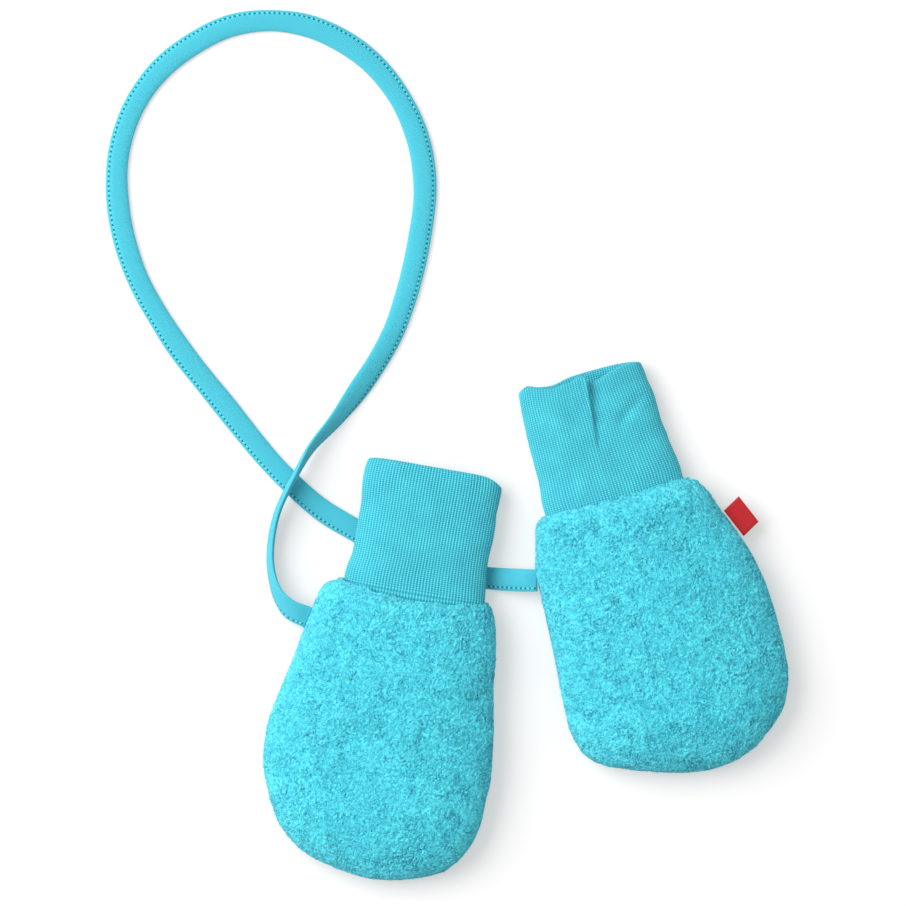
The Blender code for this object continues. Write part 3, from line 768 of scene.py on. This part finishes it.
def makePanel(name, mitten, side, material):
    step = bodyShape["frontStep"] if side > 0 else bodyShape["backStep"]
    every = bodyShape["innerEvery"]
    share, across = panelPlaces(mitten, side, step)
    curl = bodyShape["curlRows"]
    share = trimmed(share, every)
    extra = (-(len(share) - 1 + curl)) % every
    share = np.interp(np.linspace(0, len(share) - 1, len(share) + extra), np.arange(len(share)), share)
    across = trimmed(across, every)
    roll = np.linspace(math.pi / 2, 0, curl + 1)[:-1]     # the edge rolls in to the cuff
    fullShare = np.concatenate([np.zeros(curl), share])
    rollIn = np.concatenate([bodyShape["edgeWall"] * (1 - np.cos(roll)), np.zeros(len(share))])
    rollOut = np.concatenate([-bodyShape["curlReach"] * np.sin(2 * roll), np.zeros(len(share))])
    base = panelSurface(mitten, side, fullShare, across, False, rollIn, rollOut)
    normal = gridNormals(base)
    outward = normal * (np.sign(normal[len(share) // 2, len(across) // 2, 2]) * side)
    # lengths on the cloth, for the pile
    t = np.concatenate([[0], np.cumsum(np.linalg.norm(np.diff(base[:, len(across) // 2], axis=0), axis=1))])
    mid = base[len(share) // 2]
    s = np.concatenate([[0], np.cumsum(np.linalg.norm(np.diff(mid, axis=0), axis=1))])
    s = s - s[-1] / 2
    width = (base[:, -1, 0] - base[:, 0, 0]) / (mid[-1, 0] - mid[0, 0])
    s, t = s[None, :] * width[:, None], np.broadcast_to(t[:, None], base.shape[:2])
    seed = mitten["seed"] * (3 if side > 0 else 5)
    pile, number = curlHeight(s, t, seed)
    fromSeam = (1 - np.abs(across))[None, :] * bodyShape["usualHalf"] + np.zeros_like(s)
    fromMouth = t - t[curl]
    fromTip = t[-1] - t
    calm = ease(fromMouth, -1.0, 5.0) * 0.35 + 0.65
    edge = np.minimum(ease(fromSeam, 0.0, 0.7), ease(fromTip, 0.0, 2.0))
    swell = 1.5 * (softNoise(s, t, 24.0, seed + 20) - 0.5) + 0.7 * (softNoise(s, t, 11.0, seed + 21) - 0.5)
    inner = 0.25 + 0.75 * ease(fromMouth, -2.2, -0.6)
    lift = pile * 1.7 * calm * (0.5 + 0.5 * edge) * inner + swell * edge * ease(fromMouth, 0.0, 8.0)
    lift = lift - 0.45 * (1 - edge) - 0.15
    outer = base + outward * lift[..., None]
    ragged = 0.9 * (softNoise(s, s * 0, 3.4, seed + 30) - 0.5)
    ragged = ragged + 0.5 * (softNoise(s, s * 0, 1.1, seed + 31) - 0.5)
    outer[..., 1] += ragged * (1 - ease(fromMouth, -0.5, 2.6)) * edge * (side > 0)
    outer[..., 2] = np.maximum(outer[..., 2], 0.05)
    seamLevel = bodyShape["seamHeight"] + side * bodyShape["seamGap"] / 2
    outer[..., 2] = np.where(side * (outer[..., 2] - seamLevel) < 0, seamLevel, outer[..., 2])
    coarseShare, coarseAcross = fullShare[::every], across[::every]
    lining = panelSurface(mitten, side, coarseShare, coarseAcross, True)
    lining[0] = panelSurface(mitten, side, coarseShare[:1], coarseAcross, True, 0.0, 0.25)[0]
    rows, columns = outer.shape[:2]
    coarseRows, coarseColumns = lining.shape[:2]
    start = rows * columns
    fineIndex = np.arange(start).reshape(rows, columns)
    coarseIndex = np.arange(coarseRows * coarseColumns).reshape(coarseRows, coarseColumns) + start
    rim = [joinEdges(fineIndex[0], coarseIndex[0], every, False),
           joinEdges(fineIndex[-1], coarseIndex[-1], every, True),
           joinEdges(fineIndex[:, 0], coarseIndex[:, 0], every, True),
           joinEdges(fineIndex[:, -1], coarseIndex[:, -1], every, False)]
    faces = [gridFaces(rows, columns),
             gridFaces(coarseRows, coarseColumns, start=start)[:, ::-1]] + rim
    points = np.concatenate([outer.reshape(-1, 3), lining.reshape(-1, 3)])
    piece = makePiece(name, placed(points, mitten), faces, material)
    # pile height, which the fleece material turns into painted shade in the low places and a painted
    # highlight on the tops
    pileValue = np.clip(0.52 + pile * 1.15 + (number - 0.5) * 0.08, 0, 1)
    insideValue = np.full(coarseRows * coarseColumns, 0.5)
    storeValue(piece, "pile", np.concatenate([pileValue.reshape(-1), insideValue]))
    print(name, "has", rows, "by", columns, "points on its face")
    return piece


def joinEdges(fine, coarse, every, flip):
    # triangles between a fine edge and a coarse one with a point for every `every` of its points
    count = len(coarse) - 1
    segment = np.arange(count)[:, None]
    place = np.arange(every)[None, :]
    first = fine[segment * every + place]
    second = fine[segment * every + place + 1]
    towards = np.where(place < every // 2, coarse[segment], coarse[segment + 1])
    fans = np.stack([second, first, towards], axis=-1).reshape(-1, 3)
    middle = fine[np.arange(count) * every + every // 2]
    gaps = np.stack([middle, coarse[:-1], coarse[1:]], axis=-1)
    faces = np.concatenate([fans, gaps])
    return faces[:, ::-1] if flip else faces


cuffShape = {
    "wall": 2.0,
    "inside": 2.5,
    "ribPitch": 1.06,
    "ribPoints": 6,
    "ribHeight": 0.13,
    "outerStep": 0.8,
    "innerStep": 2.6,
}


def cuffRing(mitten, up, across, upper, wall):
    # one point for each row `up` and column: x, place along and height of the wall set in by `wall`
    cuff = mitten["cuff"]
    left = smoothColumn(cuff["up"], cuff["left"], up) - wall
    right = smoothColumn(cuff["up"], cuff["right"], up) - wall
    low = smoothColumn(cuff["up"], cuff["bottom"], up) + wall
    high = smoothColumn(cuff["up"], cuff["top"], up) - wall
    seamShare = (bodyShape["seamHeight"] - cuff["bottom"][0]) / (cuff["top"][0] - cuff["bottom"][0])
    level = low + (high - low) * seamShare
    mouth = cuff["up"][-1]
    x = (right - left) / 2 + (right + left) / 2 * across
    frontShare = heightShare(across, bodyShape["frontFullness"])
    backShare = heightShare(across, bodyShape["backFullness"])
    z = np.where(upper, level + (high - level) * frontShare, level - (level - low) * backShare)
    nearMouth = np.clip(up / mouth, 0, 1) ** 6
    drops = mitten["cornerDrop"]
    place = up - np.where(across < 0, drops[0], drops[1]) * np.abs(across) ** 8 * nearMouth
    bow = mitten["mouthArch"] * (1 - across ** 2) * np.clip(-up / cuffShape["inside"], 0, 1)
    place = place - np.where(upper, bow, 0)
    tuck = mitten["tuck"]
    if tuck:
        share = np.clip((up - tuck["footUp"]) / (mouth - tuck["footUp"]), 0, 1)
        beside = x - (tuck["footAcross"] + (tuck["mouthAcross"] - tuck["footAcross"]) * share)
        on = np.where(upper, share, 0) ** 0.8
        z = z - on * tuck["depth"] * frontShare * ease(beside, -tuck["steep"], tuck["steep"]) * np.exp(
            -np.maximum(beside, 0) / tuck["slow"])
        leaning = np.exp(np.minimum(beside, 0) / tuck["lipReach"]) * (beside < tuck["steep"])
        z = z + on * tuck["lip"] * leaning
        x = x + on * tuck["lean"] * leaning
    if mitten["frontEdge"]:
        front, back = mitten["frontEdge"], mitten["backEdge"]
        reach = np.clip((up - mouth * 0.55) / (mouth * 0.45), 0, 1) ** 2
        wave = np.where(upper, smoothColumn(front[0], front[1], x), smoothColumn(back[0], back[1], x))
        place = place + wave * reach
    return np.stack([x, place, z], axis=-1)


def foldDepth(grid, begin, end, depth, width):
    # depth * exp(-(d / width)^2), with d the distance from the fold's line, easing out at its ends
    run = np.subtract(end, begin)
    length = np.hypot(*run)
    dx, dy = grid[..., 0] - begin[0], grid[..., 1] - begin[1]
    along = (dx * run[0] + dy * run[1]) / length
    beside = (dx * run[1] - dy * run[0]) / length
    window = ease(along, -1.5, length * 0.3) * (1 - ease(along, length * 0.65, length + 2.0))
    return depth * window * np.exp(-(beside / np.where(beside > 0, width, width * 1.8)) ** 2)


def makeCuff(name, mitten, material):
    cuff = mitten["cuff"]
    wall, mouth, foot = cuffShape["wall"], cuff["up"][-1], cuff["up"][0]
    dense = np.linspace(0, 2 * math.pi, 2401)
    ring = np.stack([np.cos(dense), np.sin(dense) > 0], axis=-1)
    level = cuffRing(mitten, np.full(len(dense), mouth * 0.45), ring[:, 0], ring[:, 1] > 0, 0.0)
    girth = np.linalg.norm(np.diff(level[:, [0, 2]], axis=0), axis=1).sum()
    ribs = int(round(girth / cuffShape["ribPitch"]))
    turn = evenPlaces(level[:, [0, 2]], dense, girth / (ribs * cuffShape["ribPoints"]))[:-1]
    across, upper = np.cos(turn), np.sin(turn) > 1e-9
    outerUp = np.linspace(foot, mouth - wall / 2, int((mouth - foot) / cuffShape["outerStep"]))
    fold = np.linspace(0, math.pi, 9)[1:-1]
    innerUp = np.linspace(mouth - wall / 2, foot, int((mouth - foot) / cuffShape["innerStep"]))
    up = np.concatenate([outerUp, mouth - wall / 2 + wall / 2 * np.sin(fold), innerUp])
    overFold = wall / 2 * (1 - np.cos(fold))
    inset = np.concatenate([np.zeros(len(outerUp)), overFold, np.full(len(innerUp), wall)])
    grid = cuffRing(mitten, up[:, None], across[None, :], upper[None, :], inset[:, None])
    normal = gridNormals(grid, wrapRows=True, wrapColumns=True)
    centre = grid[: len(outerUp)].mean(axis=(0, 1))
    sign = np.sign(np.einsum("ijk,ijk->ij", normal[5:30], grid[5:30] - centre).mean())
    ribWave = np.cos(np.arange(len(turn)) * 2 * math.pi / cuffShape["ribPoints"])
    rib = np.sign(ribWave) * np.abs(ribWave) ** 0.8
    seed = mitten["seed"] + 300
    travel = np.concatenate([[0], np.cumsum(np.abs(np.diff(up)) + np.abs(np.diff(inset)))])
    s = np.arange(len(turn)) * cuffShape["ribPitch"] / cuffShape["ribPoints"]
    ss, tt = np.broadcast_arrays(s[None, :], travel[:, None])
    slack = 0.7 * (softNoise(ss, tt, 13.0, seed) - 0.5) + 0.35 * (softNoise(ss, tt, 5.0, seed + 1) - 0.5)
    free = ease(up, 1.0, 9.0)[:, None] * ease(mouth - up, -1.0, 5.0)[:, None]
    strength = cuffShape["ribHeight"] * (0.75 + 0.5 * softNoise(ss, tt, 9.0, seed + 2))
    lift = rib[None, :] * strength + slack * free * (inset[:, None] < 0.1)
    outside = upper[None, :] * (inset[:, None] < 0.1)
    for begin, end, depth, width in mitten["folds"]:
        lift = lift - outside * foldDepth(grid, begin, end, depth, width)
    points = grid + normal * sign * lift[..., None]
    points[..., 2] = np.maximum(points[..., 2], 0.08)
    rows, columns = grid.shape[:2]
    piece = makePiece(name, placed(points.reshape(-1, 3), mitten),
                      [gridFaces(rows, columns, wrapRows=True, wrapColumns=True)], material)
    uv = np.stack([ss, tt], axis=-1).reshape(-1, 2)
    storeUv(piece, "cloth", uv)
    # the rib wave, which the material turns into painted shade in the grooves
    storeValue(piece, "rib", np.broadcast_to(0.5 + 0.5 * rib[None, :], ss.shape).reshape(-1))
    print(name, "has", ribs, "ribs round it")
    return piece, girth


tabShape = {"from": 15.3, "to": 26.0, "reach": 7.5, "thick": 1.1, "lean": 29.0, "gap": 0.45}


def makeTab(mitten, material):
    # a tape folded in two: a rounded profile out and back, carried along the seam
    body = mitten["body"]
    along = np.array([tabShape["from"], tabShape["to"]])
    seam = np.stack([smoothColumn(body["along"], body["right"], along), -along], axis=-1)
    run = seam[1] - seam[0]
    outward = np.array([-run[1], run[0]]) / np.linalg.norm(run)
    seam = seam + outward * tabShape["gap"]
    lean = math.radians(tabShape["lean"])
    reach = np.array([math.cos(lean), math.sin(lean)]) * tabShape["reach"]
    half = tabShape["thick"] / 2
    out = np.linspace(0, 1 - half / tabShape["reach"], 22)
    bend = np.linspace(0, math.pi, 9)[1:-1]
    profileOut = np.concatenate([out, out[-1] + half / tabShape["reach"] * np.sin(bend), out[::-1]])
    profileUp = np.concatenate([np.full(22, half), half * np.cos(bend), np.full(22, -half)])
    puff = 0.12 * np.sin(np.pi * np.clip(profileOut, 0, 1))
    profileUp = profileUp * (1 + puff)
    width = np.linspace(0, 1, 30)
    edgeThin = 1 - 0.45 * np.abs(2 * width - 1) ** 14
    x = seam[0][0] + run[0] * width[None, :] + reach[0] * profileOut[:, None]
    y = seam[0][1] + run[1] * width[None, :] + reach[1] * profileOut[:, None]
    wave = 0.35 * (profileOut ** 2)[:, None] * (np.cos(width * 3.0))[None, :]
    z = bodyShape["seamHeight"] + profileUp[:, None] * edgeThin[None, :] + wave
    grid = np.stack([x, y, z], axis=-1)
    rows, columns = grid.shape[:2]
    faces = [gridFaces(rows, columns)]
    index = np.arange(rows * columns).reshape(rows, columns)
    for column, flip in ((0, False), (columns - 1, True)):
        # an odd count of rows: quads up to the fold, and one triangle in the fold itself
        edge = index[:, column]
        middle = rows // 2
        pairs = np.arange(middle - 1)
        mirror = rows - 1 - pairs
        quads = np.stack([edge[pairs], edge[pairs + 1], edge[mirror - 1], edge[mirror]], axis=-1)
        tip = edge[None, middle - 1:middle + 2]
        faces.append(quads[:, ::-1] if flip else quads)
        faces.append(tip[:, ::-1] if flip else tip)
    back = np.stack([index[0, :-1], index[-1, :-1], index[-1, 1:], index[0, 1:]], axis=-1)
    faces.append(back)
    piece = makePiece("sideTab", placed(grid.reshape(-1, 3), mitten), faces, material)
    runs = np.hypot(np.diff(profileOut * tabShape["reach"]), np.diff(profileUp))
    length = np.concatenate([[0], np.cumsum(runs)])
    uv = np.stack(np.broadcast_arrays(width[None, :] * np.linalg.norm(run), length[:, None]), axis=-1)
    storeUv(piece, "cloth", uv.reshape(-1, 2))
    return piece, np.linalg.norm(run), length[-1]


def declare(piece, nodes):
    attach(piece, "root")
    if nodes:
        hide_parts(*nodes)


def main():
    knit, fuzz = knitGroup(), fuzzGroup()
    fleece = fleeceMaterial(fuzz)
    # each gap colour is painted shade between the loops, and the cuff's groove colour is painted shade
    # between its ribs
    cuffKnit = knitMaterial("ribKnit", knit, fuzz, {
        "wale": cuffShape["ribPitch"] / 2, "course": 0.74, "slant": 1.0, "gapShade": 1.2, "bump": 0.9,
        "sheen": 0.05, "face": linear(122, 255, 255), "gap": linear(14, 134, 172),
        "patch": linear(104, 252, 255), "grooveShade": 0.8, "groove": linear(18, 146, 174), "holes": None,
    })
    strapKnit = knitMaterial("strapKnit", knit, fuzz, {
        "wale": 0.62, "course": 0.66, "slant": 0.9, "gapShade": 0.5, "bump": 0.8,
        "sheen": 0.08, "face": linear(78, 192, 211), "gap": linear(30, 140, 164),
        "patch": linear(68, 184, 202), "grooveShade": 0.0, "holes": linear(14, 94, 112),
    })
    thread = knitMaterial("threadTurquoise", knit, fuzz, {
        "wale": 0.4, "course": 0.4, "slant": 1.0, "gapShade": 0.2, "bump": 0.2,
        "sheen": 0.08, "face": linear(96, 222, 236), "gap": linear(50, 170, 194),
        "patch": linear(86, 212, 228), "grooveShade": 0.0, "holes": None,
    })
    woven = wovenMaterial()

    strap, path, strapLength = makeStrap(strapKnit)
    stitches = makeStrapStitches(thread)
    storeUv(stitches, "cloth", np.zeros((len(stitches.data.vertices), 2)))
    declare(strap, ["joining_strap"])
    declare(stitches, [])
    print("strap and its stitches are made")

    for label, mitten in mittens.items():
        for side, facing in (("Front", 1), ("Back", -1)):
            panel = makePanel(label + side + "Panel", mitten, facing, fleece)
            declare(panel, [f"{label}_{side.lower()}_panel"])
            width, length, area = panelCut(mitten, facing)
            print(panel.name, "is cut", round(width, 1), "by", round(length, 1), "mm")
        cuff, girth = makeCuff(label + "Cuff", mitten, cuffKnit)
        declare(cuff, [label + "_cuff"])
        print(label, "mitten is made")

    tab, tabWidth, tabLength = makeTab(mittens["right"], woven)
    declare(tab, ["side_tab"])


studio = {
    "floor": 0.45,
    "floorGlow": 0.39,
    "sky": (1.0, 0.965, 0.95, 1),
    "skyStrength": 0.56,
    "lights": {
        "key": {"from": (-1.25, 0.62, 1.25), "size": 1.8, "power": 57.0},
        "top": {"from": (0.1, 0.2, 1.9), "size": 1.3, "power": 7.0},
    },
}


def makeStudio():
    mesh = bpy.data.meshes.new("floor")
    mesh.from_pydata([(-3, -3, 0), (3, -3, 0), (3, 3, 0), (-3, 3, 0)], [], [(0, 1, 2, 3)])
    floor = bpy.data.objects.new("floor", mesh)
    scene.collection.objects.link(floor)
    material = bpy.data.materials.new("paleFloor")
    material.use_nodes = True
    shader = material.node_tree.nodes["Principled BSDF"]
    shader.inputs["Base Color"].default_value = (studio["floor"],) * 3 + (1,)
    shader.inputs["Roughness"].default_value = 0.9
    shader.inputs["Specular IOR Level"].default_value = 0.1
    shader.inputs["Emission Color"].default_value = (1.0, 1.0, 1.0, 1)
    shader.inputs["Emission Strength"].default_value = studio["floorGlow"]
    mesh.materials.append(material)
    world = bpy.data.worlds.new("studio")
    world.use_nodes = True
    world.node_tree.nodes["Background"].inputs["Color"].default_value = studio["sky"]
    world.node_tree.nodes["Background"].inputs["Strength"].default_value = studio["skyStrength"]
    scene.world = world
    for name, light in studio["lights"].items():
        data = bpy.data.lights.new(name, "AREA")
        data.size = light["size"]
        data.energy = light["power"]
        lamp = bpy.data.objects.new(name, data)
        lamp.location = light["from"]
        target = np.array([cameraShape["centreX"] * mm, cameraShape["centreY"] * mm, 0.0])
        direction = target - np.array(light["from"])
        pitch = math.acos(-direction[2] / np.linalg.norm(direction))
        heading = math.atan2(direction[1], direction[0])
        lamp.rotation_euler = (pitch, 0, heading - math.pi / 2)
        scene.collection.objects.link(lamp)
    scene.view_settings.view_transform = "Standard"
    scene.view_settings.look = "None"


makeCamera()
makeStudio()
main()
